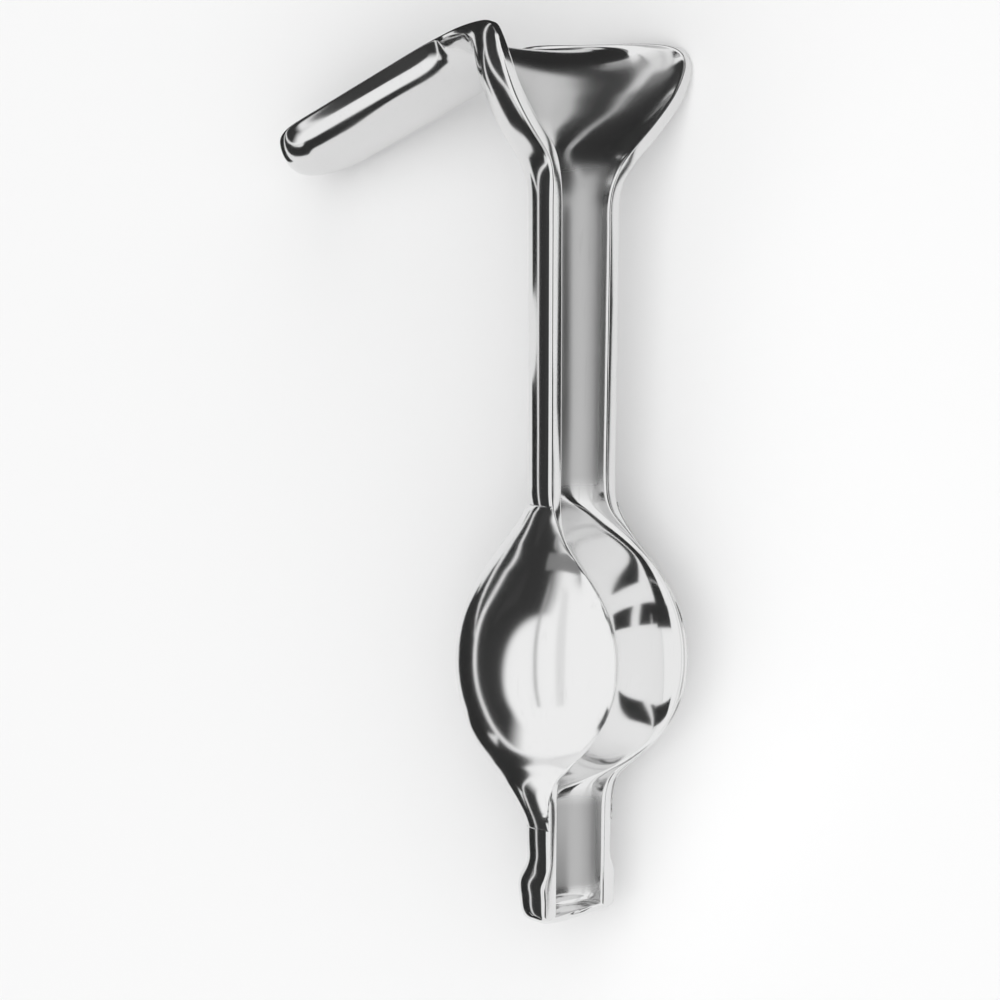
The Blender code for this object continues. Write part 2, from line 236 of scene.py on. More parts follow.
@dataclass
class Gutter:
    """The half-round gutter of the handle, its bow over the weight, and the flared foot."""

    weight: Weight
    top_radius: float = 0.0152
    bottom_radius: float = 0.0145
    neck_radius: float = 0.0141
    wall: float = 0.0050
    neck_wall: float = 0.0040
    top: float = 0.1880
    bottom: float = 0.1150
    neck_top: float = 0.0300
    foot_radius: float = 0.0158
    foot_height: float = 0.0105
    foot_shoulder: float = 0.0030
    lip_wall: float = 0.0022
    lip_drop: float = 0.0024
    groove_half_width: float = 0.0163
    groove_depth: float = 0.0056
    groove_floor_wall: float = 0.0030
    groove_rim_wall: float = 0.0007
    widest_groove: float = 0.985
    bow_rush: float = 3.0
    lip_rush: float = 6.0
    shaft_cuts: tuple[float, ...] = (0.0, 0.1, 0.35, 0.65, 0.9, 1.0)
    bow: tuple[tuple[float, float], ...] = (
        (0.95, 0.10),
        (0.88, 0.32),
        (0.80, 0.60),
        (0.70, 0.85),
        (0.58, 1.00),
        (0.45, 1.00),
        (0.30, 1.00),
        (0.15, 1.00),
        (0.00, 1.00),
        (-0.13, 1.00),
        (-0.26, 1.00),
        (-0.38, 1.00),
        (-0.49, 0.96),
        (-0.58, 0.78),
        (-0.66, 0.47),
        (-0.73, 0.18),
        (-0.80, 0.03),
    )
    lip: tuple[tuple[float, float, float], ...] = (
        (0.50, 0.99, 0.42),
        (0.36, 0.95, 0.20),
        (0.27, 0.84, 0.07),
        (0.20, 0.60, 0.02),
        (0.15, 0.36, 0.00),
    )

    def half_round(self, height: float, radius: float, wall: float) -> Section:
        """A half-round section at a height."""
        return Section(Vector((0.0, radius, height)), Vector((-radius, 0.0, height)), wall, wall, pi / 2)

    def bowed(self, height: float, share: float) -> Section:
        """The gutter where it bows over the weight.

        Args:
            height: The section's height.
            share: How far it has left its straight course, from 0 to 1.

        Returns:
            The section, with its rims on the weight's surface where the bow is full.
        """
        axis, radius = self.weight.circles(np.array([height]), self.bottom_radius, self.neck_radius)[0]
        above = height > self.weight.equator
        end, end_wall = (self.bottom_radius, self.wall) if above else (self.neck_radius, self.neck_wall)
        half_width = min(between(end, self.groove_half_width, share), radius * self.widest_groove)
        forward = max(0.0, axis + sqrt(radius**2 - half_width**2)) * min(1.0, self.bow_rush * share)
        depth = between(end, self.groove_depth + self.groove_floor_wall, share)
        rim_wall = end_wall * (1 - share) ** 2 + self.groove_rim_wall * (1 - (1 - share) ** 2)
        floor_wall = between(end_wall, self.groove_floor_wall, share)
        rim, floor = Vector((forward, half_width, height)), Vector((forward - depth, 0.0, height))
        return Section(rim, floor, rim_wall, floor_wall, pi / 2)

    def sections(self) -> list[Section]:
        """The sections of the gutter from the flange down to the foot."""
        made = []
        for share in self.shaft_cuts:
            radius = between(self.top_radius, self.bottom_radius, share)
            made.append(self.half_round(between(self.top, self.bottom, share), radius, self.wall))
        made += [self.bowed(self.weight.height(place), share) for place, share in self.bow]
        heights = (self.neck_top - self.foot_shoulder, (self.neck_top + self.foot_height) / 2)
        for height in (*heights, self.foot_height + self.foot_shoulder):
            made.append(self.half_round(height, self.neck_radius, self.neck_wall))
        foot_wall = self.neck_wall + self.foot_radius - self.neck_radius
        made.append(self.half_round(self.foot_height, self.foot_radius, foot_wall))
        for rim_share, reach, floor_share in self.lip:
            section = self.half_round(self.foot_height * rim_share, self.foot_radius, foot_wall)
            drop = self.foot_height * floor_share - self.lip_drop * (1 - floor_share)
            section.floor = Vector((-self.foot_radius * reach, 0.0, drop))
            thinned = min(1.0, (1.0 - reach) * self.lip_rush)
            section.floor_wall = foot_wall + (self.lip_wall - foot_wall) * thinned
            made.append(section)
        return made


@dataclass
class Blade:
    """The trough-shaped blade with its spoon-shaped tip."""

    half_width: float = 0.0190
    slope: float = radians(23.0)
    root_back: float = 0.0368
    root_height: float = 0.2279
    length: float = 0.0670
    tip_length: float = 0.0160
    tip_fullness: float = 0.50
    tip_bulge: float = 0.0034
    wall: float = 0.0030
    root_depth: float = 0.0103
    tip_depth: float = 0.0100
    tip_crowding: float = 1.4
    tip_steps: int = 44
    cuts: tuple[float, ...] = (0.85, 0.65, 0.45, 0.25, 0.08)

    def sections(self) -> tuple[list[Section], list[Section]]:
        """The blade's sections.

        Returns:
            The close sections of the tip, and the few sections from there to the root.
        """
        along = Vector((-cos(self.slope), 0.0, -sin(self.slope)))
        upward = Vector((-sin(self.slope), 0.0, cos(self.slope)))
        root = Vector((-self.root_back, 0.0, self.root_height))
        straight = self.length - self.tip_length
        tip = []
        for step in range(self.tip_steps + 1):
            angle = pi / 2 * (step / self.tip_steps) ** self.tip_crowding
            reach = straight + self.tip_length * cos(angle)
            rim = root + along * reach + Vector((0.0, self.half_width * sin(angle), 0.0))
            bulge = self.tip_bulge * max(0.0, sin(2 * angle)) ** self.tip_fullness
            depth = self.tip_depth * sin(angle) ** self.tip_fullness
            floor = root + along * (reach + bulge) - upward * depth
            tip.append(Section(rim, floor, self.wall, self.wall, -self.slope))
        rest = [tip[-1]]
        for share in self.cuts:
            middle = root + along * straight * share
            depth = self.tip_depth * share + self.root_depth * (1 - share)
            rim = middle + Vector((0.0, self.half_width, 0.0))
            rest.append(Section(rim, middle - upward * depth, self.wall, self.wall, -self.slope))
        return tip, rest


@dataclass
class Flange:
    """The rolled crest, the flared wings and the funnel between them."""

    blade: Blade
    half_width: float = 0.0424
    lift: float = 0.0040
    top: float = 0.2295
    wall: float = 0.0042
    funnel_depth: float = 0.0194
    crest_radius: float = 0.0090
    crest_top: float = 0.2265
    rims: tuple[tuple[float, float, float, float, float], ...] = (
        (-0.92, 0.475, 0.0012, -12, 1.00),
        (-0.78, 0.560, 0.0008, -4, 1.00),
        (-0.60, 0.680, 0.0005, 0, 1.00),
        (-0.38, 0.800, 0.0001, 5, 0.95),
        (-0.17, 0.890, -0.0002, 16, 0.80),
        (0.35, 1.000, 0.0011, 40, 0.65),
        (0.95, 1.020, 0.0046, 72, 0.75),
        (1.00, 0.990, 0.0095, 86, 0.95),
        (0.92, 0.900, 0.0160, 90, 1.00),
        (0.75, 0.755, 0.0225, 90, 1.00),
        (0.60, 0.590, 0.0285, 90, 1.00),
        (0.45, 0.430, 0.0340, 90, 1.00),
        (0.12, 0.365, 0.0385, 90, 1.00),
    )
    crest_floors: tuple[tuple[float, float, float], ...] = (
        (-23, 0.0055, 0.0028),
        (-23, 0.0020, 0.0010),
        (-10, 0.0, 0.0),
        (15, 0.0, 0.0),
        (42, 0.0, 0.0),
        (68, 0.0, 0.0),
        (90, 0.0, 0.0),
    )
    funnel_floors: tuple[tuple[float, float], ...] = (
        (1.000, 0.0150),
        (1.000, 0.0180),
        (1.000, 0.0235),
        (0.955, 0.0290),
        (0.875, 0.0342),
        (0.800, 0.0385),
    )

    def sections(self) -> list[Section]:
        """The sections of the flange from the blade's root down to the gutter."""
        fillet = self.crest_radius - self.wall
        floors = []
        for turn, back, down in self.crest_floors:
            angle = radians(turn)
            x = -self.funnel_depth - fillet + fillet * sin(angle) - back
            floors.append(Vector((x, 0.0, self.crest_top - self.crest_radius + fillet * cos(angle) - down)))
        for share, drop in self.funnel_floors:
            floors.append(Vector((-self.funnel_depth * share, 0.0, self.top - drop)))
        made = []
        for (reach, width, drop, turn, wall), floor in zip(self.rims, floors):
            x = reach * (self.blade.root_back if reach < 0 else self.lift)
            rim = Vector((x, self.half_width * width, self.top - drop))
            made.append(Section(rim, floor, self.wall * wall, self.wall, radians(turn)))
        return made


@dataclass
class PressedPiece:
    """The blade, flange and gutter, pressed from one piece of steel."""

    blade: Blade
    flange: Flange
    gutter: Gutter
    spacing: float = 0.0008
    least_step: float = 0.0004
    foot_fade: float = 0.006
    end_reach: float = 0.00002
    end_slope: float = 0.25
    arc_steps: int = 62
    edge_radius: float = 0.0009
    edge_share: float = 0.38
    edge_turn: float = 0.5
    edge_limit: float = 0.45
    edge_steps: int = 5
    end_steps: int = 6
    lip_fade: tuple[float, float] = (0.0030, 0.0055)
    # These tables mark the gutter's rougher bed, whose colour is also darkened there as painted shade.
    satin_and_shade_shaft: tuple[float, float, float, float] = (0.1060, 0.1140, 0.2000, 0.1900)
    satin_and_shade_neck: tuple[float, float, float, float] = (0.0040, 0.0070, 0.0330, 0.0270)
    satin_and_shade_funnel: float = 0.5
    satin_and_shade_edge: float = 0.12

    def course(self) -> list[Section]:
        """The close and eased sections from the blade's tip to the foot."""
        tip, rest = self.blade.sections()
        gutter = self.gutter.sections()
        coarse = rest + self.flange.sections() + gutter
        knots = [0.0]
        for one, two in zip(coarse, coarse[1:]):
            step = max((two.rim - one.rim).length, (two.floor - one.floor).length)
            knots.append(knots[-1] + max(step, self.least_step))
        knots = np.array(knots)
        places = np.linspace(0.0, knots[-1], round(knots[-1] / self.spacing) + 1)
        values = through(knots, np.array([section.values() for section in coarse]), places)
        values = np.concatenate([np.array([section.values() for section in tip[:-1]]), values])
        neck = next(i for i, section in enumerate(coarse) if section is gutter[-len(self.gutter.lip) - 3])
        return [section_of(row) for row in self.eased(values, len(tip) - 1, knots[neck])]

    def eased(self, values: np.ndarray, tip_count: int, neck_place: float) -> np.ndarray:
        """The sections' numbers, smoothed along the piece so that its reflections run without kinks.

        Args:
            values: A row of numbers for each section.
            tip_count: How many of them make the tip.
            neck_place: How far from the tip's root the neck begins.

        Returns:
            The smoothed rows.
        """
        steps = np.diff(values[:, :6], axis=0)
        lengths = np.maximum(np.linalg.norm(steps[:, :3], axis=1), np.linalg.norm(steps[:, 3:], axis=1))
        places = np.concatenate([[0.0], np.cumsum(lengths)])
        neck = places[tip_count] + neck_place
        to_foot = fade(places, neck, neck + self.foot_fade)
        reach = Stretch.BODY.value * (1 - to_foot) + Stretch.FOOT.value * to_foot
        from_end = np.minimum(places, places[-1] - places)
        reach = np.minimum(reach, self.end_reach + self.end_slope * from_end)
        spread = np.exp(-0.5 * ((places[None, :] - places[:, None]) / reach[:, None]) ** 2)
        spread *= np.gradient(places)[None, :]
        return spread @ values / spread.sum(axis=1, keepdims=True)

    def arc(self, rim: Vector, floor: Vector, reach: float) -> list[Vector]:
        """The half ellipse from the near rim over the floor to the far rim.

        Args:
            rim: Its far end.
            floor: Its lowest point.
            reach: How far from the rims it stops, for their rounded edges.

        Returns:
            The points from near to far.
        """
        rise = Vector((rim.x - floor.x, 0.0, rim.z - floor.z))
        span = pi / 2 - min(self.edge_turn, reach / max(1e-6, rise.length))
        points = []
        for step in range(self.arc_steps + 1):
            angle = span * (2 * step / self.arc_steps - 1)
            points.append(floor + rise * (1 - cos(angle)) + Vector((0.0, rim.y * sin(angle), 0.0)))
        return points

    def corner(self, start: Vector, tip: Vector, across: Vector, reach: float) -> list[Vector]:
        """The rounded edge between the end of an arc and the flat of the rim.

        Args:
            start: The arc's end.
            tip: The sharp corner itself.
            across: A point on the flat of the rim beyond the corner.
            reach: How far along the flat the rounding goes.

        Returns:
            The points of the rounding after the arc's end, up to the flat.
        """
        end = tip.lerp(across, min(self.edge_limit, reach / max(1e-9, (across - tip).length)))
        points = []
        for step in range(1, self.edge_steps + 1):
            t = step / self.edge_steps
            points.append(start * (1 - t) ** 2 + tip * (2 * t * (1 - t)) + end * t**2)
        return points

    def loop(self, sections: list[Section], i: int) -> list[Vector]:
        """The closed cross-section at one place.

        Args:
            sections: All sections of the piece.
            i: The place.

        Returns:
            The outer arc, the far rim, the inner arc and the near rim, as one ring of points.
        """
        here = sections[i]
        before, after = sections[max(0, i - 1)], sections[min(len(sections) - 1, i + 1)]
        face = Vector((sin(here.facing), 0.0, cos(here.facing)))
        inward = face.cross(after.rim - before.rim).normalized()
        if inward.y > 0:
            inward.negate()
        run = after.floor - before.floor
        wet = Vector((-run.z, 0.0, run.x)).normalized()
        if i == 0:
            inward = wet = Vector((cos(self.blade.slope), 0.0, sin(self.blade.slope)))
        if here.rim.z < self.gutter.neck_top:
            plain = float(fade(here.floor.z, *self.lip_fade))
            inward = inward.lerp(Vector((0.0, -1.0, 0.0)), plain).normalized()
            wet = wet.lerp(Vector((1.0, 0.0, 0.0)), plain).normalized()
        reach = min(self.edge_radius, self.edge_share * here.rim_wall)
        inner_rim = here.rim + inward * here.rim_wall
        outer = self.arc(here.rim, here.floor, reach)
        inner = self.arc(inner_rim, here.floor + wet * here.floor_wall, reach)
        far_out, far_in = here.rim, inner_rim
        near_out, near_in = (Vector((point.x, -point.y, point.z)) for point in (far_out, far_in))
        return [
            *outer,
            *self.corner(outer[-1], far_out, far_in, reach),
            *self.corner(inner[-1], far_in, far_out, reach)[::-1],
            *inner[::-1],
            *self.corner(inner[0], near_in, near_out, reach),
            *self.corner(outer[0], near_out, near_in, reach)[::-1],
        ]

    def foot_end(self, before: list[Vector], last: list[Vector]) -> list[list[Vector]]:
        """Rings that round the foot's end off along the way that the wall runs there.

        Args:
            before: The ring before the last.
            last: The last ring.

        Returns:
            The rings beyond it, the last of them folded shut on the wall's middle.
        """
        count, turn = len(last), 2 * self.arc_steps + 1 + 2 * self.edge_steps
        rings = []
        for step in range(1, self.end_steps + 1):
            angle = pi / 2 * step / self.end_steps
            ring = []
            for j, point in enumerate(last):
                mate = (turn - j) % count
                middle = (point + last[mate]) / 2
                ahead = ((point - before[j]) + (last[mate] - before[mate])).normalized()
                half = self.gutter.lip_wall / 2
                ring.append(middle + (point - middle) * cos(angle) + ahead * (half * sin(angle)))
            rings.append(ring)
        return rings

    def mesh(self, sections: list[Section]) -> bpy.types.Mesh:
        """The piece as one closed skin through its sections."""
        rings = [self.loop(sections, i) for i in range(len(sections))]
        rings += self.foot_end(rings[-2], rings[-1])
        return skin("blade_and_gutter", rings, self.satin_and_shade(sections, rings))

    def satin_and_shade(self, sections: list[Section], rings: list[list[Vector]]) -> np.ndarray:
        """How far each point lies in the gutter's bed, which the polishing wheel can't reach: there the steel
        is left rougher, and its colour is darkened as painted shade of the hollow gutter.

        Args:
            sections: The piece's sections.
            rings: Its rings of points.

        Returns:
            A row for each ring, from nought for polished to one for the rougher finish with the full painted
            shade.
        """
        heights = np.array([s.rim.z for s in sections] + [0.0] * self.end_steps)
        fronts = np.array([s.rim.x for s in sections] + [0.0] * self.end_steps)
        shaft_top, fading = self.satin_and_shade_shaft[2], 0.010
        funnel = fade(fronts, -0.004, 0.0) * fade(heights, shaft_top, shaft_top + fading)
        beds = []
        for bottom, bottom_full, top, top_full in (self.satin_and_shade_shaft, self.satin_and_shade_neck):
            beds.append(fade(heights, bottom, bottom_full) * fade(heights, top, top_full))
        along = np.maximum(beds[0], self.satin_and_shade_funnel * funnel) + beds[1]
        across = np.zeros(len(rings[0]))
        first = self.arc_steps + 1 + 2 * self.edge_steps
        place = np.linspace(-1.0, 1.0, self.arc_steps + 1)
        across[first : first + len(place)] = fade(np.abs(place), 1.0, 1.0 - self.satin_and_shade_edge)
        return along[:, None] * across[None, :]


def skin(name: str, rings: list[list[Vector]], satin_and_shade: np.ndarray) -> bpy.types.Mesh:
    """A closed mesh through rings of equal length whose first and last are folded shut.

    Args:
        name: The mesh's name.
        rings: The rings of points.
        satin_and_shade: A number for each point, for the rougher finish and the painted shade of the gutter's
            bed, kept as an attribute of the same name.

    Returns:
        The mesh, with its faces outwards.
    """
    mesh = bpy.data.meshes.new(name)
    build = bmesh.new()
    layer = build.verts.layers.float.new("satin_and_shade")
    loops = [[build.verts.new(point) for point in ring] for ring in rings]
    for row, values in zip(loops, satin_and_shade):
        for vertex, value in zip(row, values):
            vertex[layer] = float(value)
    count = len(loops[0])
    for one, two in zip(loops, loops[1:]):
        for j in range(count):
            k = (j + 1) % count
            build.faces.new((one[j], one[k], two[k], two[j]))
    bmesh.ops.remove_doubles(build, verts=build.verts, dist=MERGE_REACH)
    bmesh.ops.recalc_face_normals(build, faces=build.faces)
    build.to_mesh(mesh)
    build.free()
    mesh.shade_smooth()
    return mesh


@dataclass
class WeightTree:
    """The Geometry Nodes tree that wraps the weight's round back about the gutter's bed.

    The tree's own geometry is a line of points, one for each height, that carry the sizes of the section
    there. Each becomes a ring: out along the round body from one rim to the other, and back along the bed.
    """

    name: str = "wrapped_weight"
    tree: Tree | None = None

    def node(self, kind: str, **inputs: object) -> bpy.types.Node:
        """A node of this tree."""
        return node_in(self.tree, kind, **inputs)

    def maths(self, operation: str, *values: Socket | float) -> Socket:
        """The result of a maths node of this tree."""
        return maths_in(self.tree, operation, *values)

    def sampled(self, line: Socket, row: Socket, name: str) -> Socket:
        """A size that the line of points carries, read at each vertex's row."""
        read = self.node("GeometryNodeInputNamedAttribute", Name=name).outputs["Attribute"]
        return self.node("GeometryNodeSampleIndex", Geometry=line, Value=read, Index=row).outputs["Value"]

    def build(self) -> Tree:
        """The tree, with its sizes and its steel as named inputs."""
        self.tree = bpy.data.node_groups.new(self.name, "GeometryNodeTree")
        kinds = {"Line": "Geometry", "Rows": "Int", "Columns": "Int"}
        kinds |= {"Seam": "Float", "Edge Wall": "Float", "Rim Blend": "Float", "Steel": "Material"}
        name_sockets(self.tree, "INPUT", kinds)
        name_sockets(self.tree, "OUTPUT", {"Weight": "Geometry"})
        maths, mixed = self.maths, self.mixed
        given = self.tree.nodes.new("NodeGroupInput").outputs
        columns, rows, seam = given["Columns"], given["Rows"], given["Seam"]
        ring = maths("ADD", maths("MULTIPLY", columns, 2.0), 1.0)
        grid = self.node("GeometryNodeMeshGrid", Vertices_X=rows, Vertices_Y=ring)
        index = self.tree.nodes.new("GeometryNodeInputIndex").outputs[0]
        row = maths("FLOOR", maths("DIVIDE", maths("ADD", index, 0.5), ring))
        column = maths("SUBTRACT", index, maths("MULTIPLY", row, ring))
        column = maths("FLOORED_MODULO", column, maths("MULTIPLY", columns, 2.0))
        is_bed = maths("GREATER_THAN", column, maths("SUBTRACT", columns, 0.5))
        last = maths("SUBTRACT", columns, 1.0)
        forth = maths("DIVIDE", column, last)
        back = maths("DIVIDE", maths("SUBTRACT", maths("ADD", columns, last), column), last)
        share = mixed(is_bed, forth, back)
        sizes = {name: self.sampled(given["Line"], row, name) for name in SECTION_SIZES}
        half_width = maths("ADD", sizes["half_width"], seam)
        turn = maths("MULTIPLY", maths("SUBTRACT", maths("MULTIPLY", share, 2.0), 1.0), pi / 2)
        rise = maths("ADD", sizes["rise"], seam)
        bed_x = maths("SUBTRACT", sizes["rim"], maths("MULTIPLY", rise, maths("COSINE", turn)))
        bed_y = maths("MULTIPLY", half_width, maths("SINE", turn))
        round_side = self.round_side(sizes, half_width, share)
        out_x, out_y = self.outside(sizes, half_width, rise, round_side, given)
        out_x = mixed(sizes["presence"], bed_x, out_x)
        out_y = mixed(sizes["presence"], bed_y, out_y)
        x, y = mixed(is_bed, out_x, bed_x), mixed(is_bed, out_y, bed_y)
        place = self.node("ShaderNodeCombineXYZ", X=x, Y=y, Z=sizes["height"]).outputs[0]
        moved = self.node("GeometryNodeSetPosition", Geometry=grid.outputs["Mesh"], Position=place)
        merged = self.node("GeometryNodeMergeByDistance", Geometry=moved.outputs[0], Distance=MERGE_REACH)
        real = self.node("GeometryNodeRealizeInstances", Geometry=merged.outputs[0])
        dressed = self.node("GeometryNodeSetMaterial", Geometry=real.outputs[0], Material=given["Steel"])
        self.node("NodeGroupOutput", Weight=dressed.outputs[0])
        return self.tree

    def mixed(self, share: Socket, one: Socket, two: Socket) -> Socket:
        """The mix of two values, with the share of the second."""
        step = self.maths("SUBTRACT", two, one)
        return self.maths("ADD", one, self.maths("MULTIPLY", step, share))

    def round_side(
        self, sizes: dict[str, Socket], half_width: Socket, share: Socket
    ) -> tuple[Socket, Socket]:
        """The place on the round body, from the near rim round the back to the far one.

        Args:
            sizes: The section's sizes.
            half_width: Half the bed's width.
            share: The share of the way round.

        Returns:
            The place in X and in Y.
        """
        radius, maths = sizes["radius"], self.maths
        start = maths("ARCSINE", maths("MINIMUM", maths("DIVIDE", half_width, radius), 1.0))
        sweep = maths("SUBTRACT", 2 * pi, maths("MULTIPLY", start, 2.0))
        turn = maths("ADD", start, maths("MULTIPLY", sweep, share))
        x = maths("ADD", sizes["axis"], maths("MULTIPLY", radius, maths("COSINE", turn)))
        y = maths("MULTIPLY", maths("MULTIPLY", radius, maths("SINE", turn)), -1.0)
        return x, y

    def outside(
        self,
        sizes: dict[str, Socket],
        half_width: Socket,
        rise: Socket,
        place: tuple[Socket, Socket],
        given: bpy.types.NodeOutputs,
    ) -> tuple[Socket, Socket]:
        """A place on the round body, kept behind the rims and outside the bed.

        Args:
            sizes: The section's sizes.
            half_width: Half the bed's width.
            rise: The bed's depth.
            place: The place in X and in Y.
            given: The tree's own inputs.

        Returns:
            The place in X and in Y.
        """
        (x, y), rim, maths = place, sizes["rim"], self.maths
        behind = maths("SMOOTH_MIN", x, rim, given["Rim Blend"])
        across = maths("DIVIDE", y, half_width)
        along = maths("DIVIDE", maths("SUBTRACT", behind, rim), rise)
        squares = maths("ADD", maths("POWER", across, 2.0), maths("POWER", along, 2.0))
        least = maths("ADD", 1.0, maths("DIVIDE", given["Edge Wall"], half_width))
        grow = maths("MAXIMUM", maths("DIVIDE", least, maths("SQRT", squares)), 1.0)
        out_x = maths("ADD", rim, maths("MULTIPLY", along, maths("MULTIPLY", rise, grow)))
        return out_x, maths("MULTIPLY", y, grow)


def weight_line(gutter: Gutter, course: list[Section]) -> bpy.types.Mesh:
    """The line of points that carries the weight's sizes to its tree.

    Args:
        gutter: The gutter, with the weight behind it.
        course: The pressed piece's sections, so that the bed fits its back.

    Returns:
        A mesh of loose points with one attribute for each size.
    """
    weight = gutter.weight
    level_gap, above_top = 0.0002, 0.02
    bed = [s for s in course if abs(s.rim.z - s.floor.z) < level_gap and s.rim.z < weight.top + above_top]
    bed.sort(key=lambda s: s.rim.z)
    levels = [s.rim.z for s in bed]
    share = np.linspace(0.0, 1.0, weight.rows)
    even, crowded = 0.65, 0.35
    ease = 0.5 - 0.5 * np.cos(pi * share)
    heights = weight.top + (weight.bottom - weight.top) * (even * share + crowded * ease)
    sizes = weight.circles(heights, gutter.bottom_radius, gutter.neck_radius)
    end = np.minimum(weight.top - heights, heights - weight.bottom)
    columns = {
        "height": heights,
        "axis": sizes[:, 0],
        "radius": sizes[:, 1],
        "rim": np.interp(heights, levels, [s.rim.x for s in bed]),
        "half_width": np.interp(heights, levels, [s.rim.y for s in bed]),
        "rise": np.interp(heights, levels, [s.rim.x - s.floor.x for s in bed]),
        "presence": np.sqrt(fade(end, 0.0, weight.end_round)),
    }
    mesh = bpy.data.meshes.new("weight_line")
    mesh.vertices.add(weight.rows)
    for name, numbers in columns.items():
        mesh.attributes.new(name, "FLOAT", "POINT").data.foreach_set("value", numbers.astype(np.float32))
    return mesh


@dataclass
class RestingPlace:
    """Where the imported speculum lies, read from the mount on its gutter's rims.

    Attributes:
        mount: The mount's name.
        anchor: The mount's place on the upright speculum.
    """

    mount: str = "gutter_rim"
    anchor: Vector = field(default_factory=lambda: Vector((0.0, -0.0124, 0.150)))

    def matrix(self) -> Matrix:
        """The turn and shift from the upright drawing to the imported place."""
        given = next(m for m in frame["record"]["mounts"] if m["name"] == self.mount)
        x = Vector(given["axis"]).normalized()
        z = Vector((0.0, x.z, -x.y)).normalized()
        y = z.cross(x)
        turn = Matrix((x, y, z)).transposed()
        return Matrix.Translation(Vector(given["pos_m"]) - turn @ self.anchor) @ turn.to_4x4()


def object_of(name: str, mesh: bpy.types.Mesh) -> bpy.types.Object:
    """An object at the origin with this mesh, in the scene."""
    made = bpy.data.objects.new(name, mesh)
    bpy.context.scene.collection.objects.link(made)
    return made


@dataclass(frozen=True)
class Steel:
    """A polished steel finish.

    Attributes:
        name: The material's name.
        colour: Its colour, linear.
        roughness: Its roughness where it is clean.
        haze: How much rougher the buffed patches are.
        wave: How deep the hand polish leaves its soft waves, in metres.
    """

    name: str
    colour: tuple[float, float, float]
    roughness: float
    haze: float
    wave: float

    def material(self, polish: Tree) -> bpy.types.Material:
        """The finish as a material that uses the shared polish."""
        made = bpy.data.materials.new(self.name)
        made.use_nodes = True
        tree = made.node_tree
        place = tree.nodes.new("ShaderNodeTexCoord").outputs["Object"]
        # The attribute read here marks the gutter's rougher bed and its painted shade.
        bed = tree.nodes.new("ShaderNodeAttribute")
        bed.attribute_name = "satin_and_shade"
        marks = tree.nodes.new("ShaderNodeGroup")
        marks.node_tree = polish
        feed(tree, marks.inputs, (place, (*self.colour, 1.0), self.roughness, self.haze, bed.outputs["Fac"]))
        height = marks.outputs["Height"]
        bump = node_in(tree, "ShaderNodeBump", Strength=1.0, Distance=self.wave, Height=height)
        shader = tree.nodes["Principled BSDF"].inputs
        shader["Metallic"].default_value = 1.0
        tree.links.new(bump.outputs["Normal"], shader["Normal"])
        tree.links.new(marks.outputs["Colour"], shader["Base Color"])
        tree.links.new(marks.outputs["Roughness"], shader["Roughness"])
        return made


def hand_polish() -> Tree:
    """The shared group for polished steel: soft waves, buffed haze, the finest of scratches, and in the
    gutter's bed a rougher finish with painted shade.
    """
    tree = bpy.data.node_groups.new("hand_polish", "ShaderNodeTree")
    kinds = {"Place": "Vector", "Colour": "Color", "Roughness": "Float", "Haze": "Float", "Satin And Shade": "Float"}
    name_sockets(tree, "INPUT", kinds)
    name_sockets(tree, "OUTPUT", {"Colour": "Color", "Roughness": "Float", "Height": "Float"})
    given = tree.nodes.new("NodeGroupInput").outputs
    result = tree.nodes.new("NodeGroupOutput").inputs

    def noise(scale: float, detail: float, stretch: Vector) -> Socket:
        """Noise on the object, stretched along an axis."""
        place = node_in(tree, "ShaderNodeMapping", Vector=given["Place"], Scale=stretch).outputs[0]
        return node_in(tree, "ShaderNodeTexNoise", Vector=place, Scale=scale, Detail=detail).outputs["Fac"]

    def ranged(value: Socket, low: float, high: float) -> Socket:
        """The value's middle range spread from nought to one."""
        return node_in(tree, "ShaderNodeMapRange", Value=value, From_Min=low, From_Max=high).outputs[0]

    def darker(colour: Socket, share: Socket, grey: float) -> Socket:
        """The colour, multiplied by a grey where the share says so."""
        made = tree.nodes.new("ShaderNodeMix")
        made.data_type = "RGBA"
        made.blend_type = "MULTIPLY"
        made.inputs[MIX_SECOND].default_value = (grey, grey, grey, 1.0)
        tree.links.new(share, made.inputs[MIX_SHARE])
        tree.links.new(colour, made.inputs[MIX_FIRST])
        return made.outputs[MIX_RESULT]

    even, lengthwise = Vector((1.0, 1.0, 1.0)), Vector((1.0, 0.05, 1.0))
    # The 0.62 grey darkens the gutter's bed as painted shade of its hollow.
    satin_roughness, painted_shade_grey, scratch_grey, scratch_share = 0.22, 0.62, 0.35, 0.10
    patches = ranged(noise(45.0, 3.0, even), 0.35, 0.75)
    clean = maths_in(tree, "MULTIPLY_ADD", patches, given["Haze"], given["Roughness"])
    rough = maths_in(tree, "MULTIPLY_ADD", given["Satin And Shade"], satin_roughness, clean)
    scratches = ranged(noise(900.0, 2.0, lengthwise), 0.62, 0.80)
    weak = maths_in(tree, "MULTIPLY", scratches, scratch_share)
    # The bed's share darkens the colour as painted shade of the hollow gutter, in addition to its rougher
    # finish.
    colour = darker(darker(given["Colour"], weak, scratch_grey), given["Satin And Shade"], painted_shade_grey)
    feed(tree, (result["Colour"], result["Roughness"]), (colour, rough))
    tree.links.new(noise(70.0, 0.0, even), result["Height"])
    return tree


POLISHED = Steel("polished_steel", (0.76, 0.76, 0.76), 0.10, 0.05, 0.00002)
GROUND = Steel("ground_steel", (0.80, 0.80, 0.80), 0.12, 0.05, 0.00002)


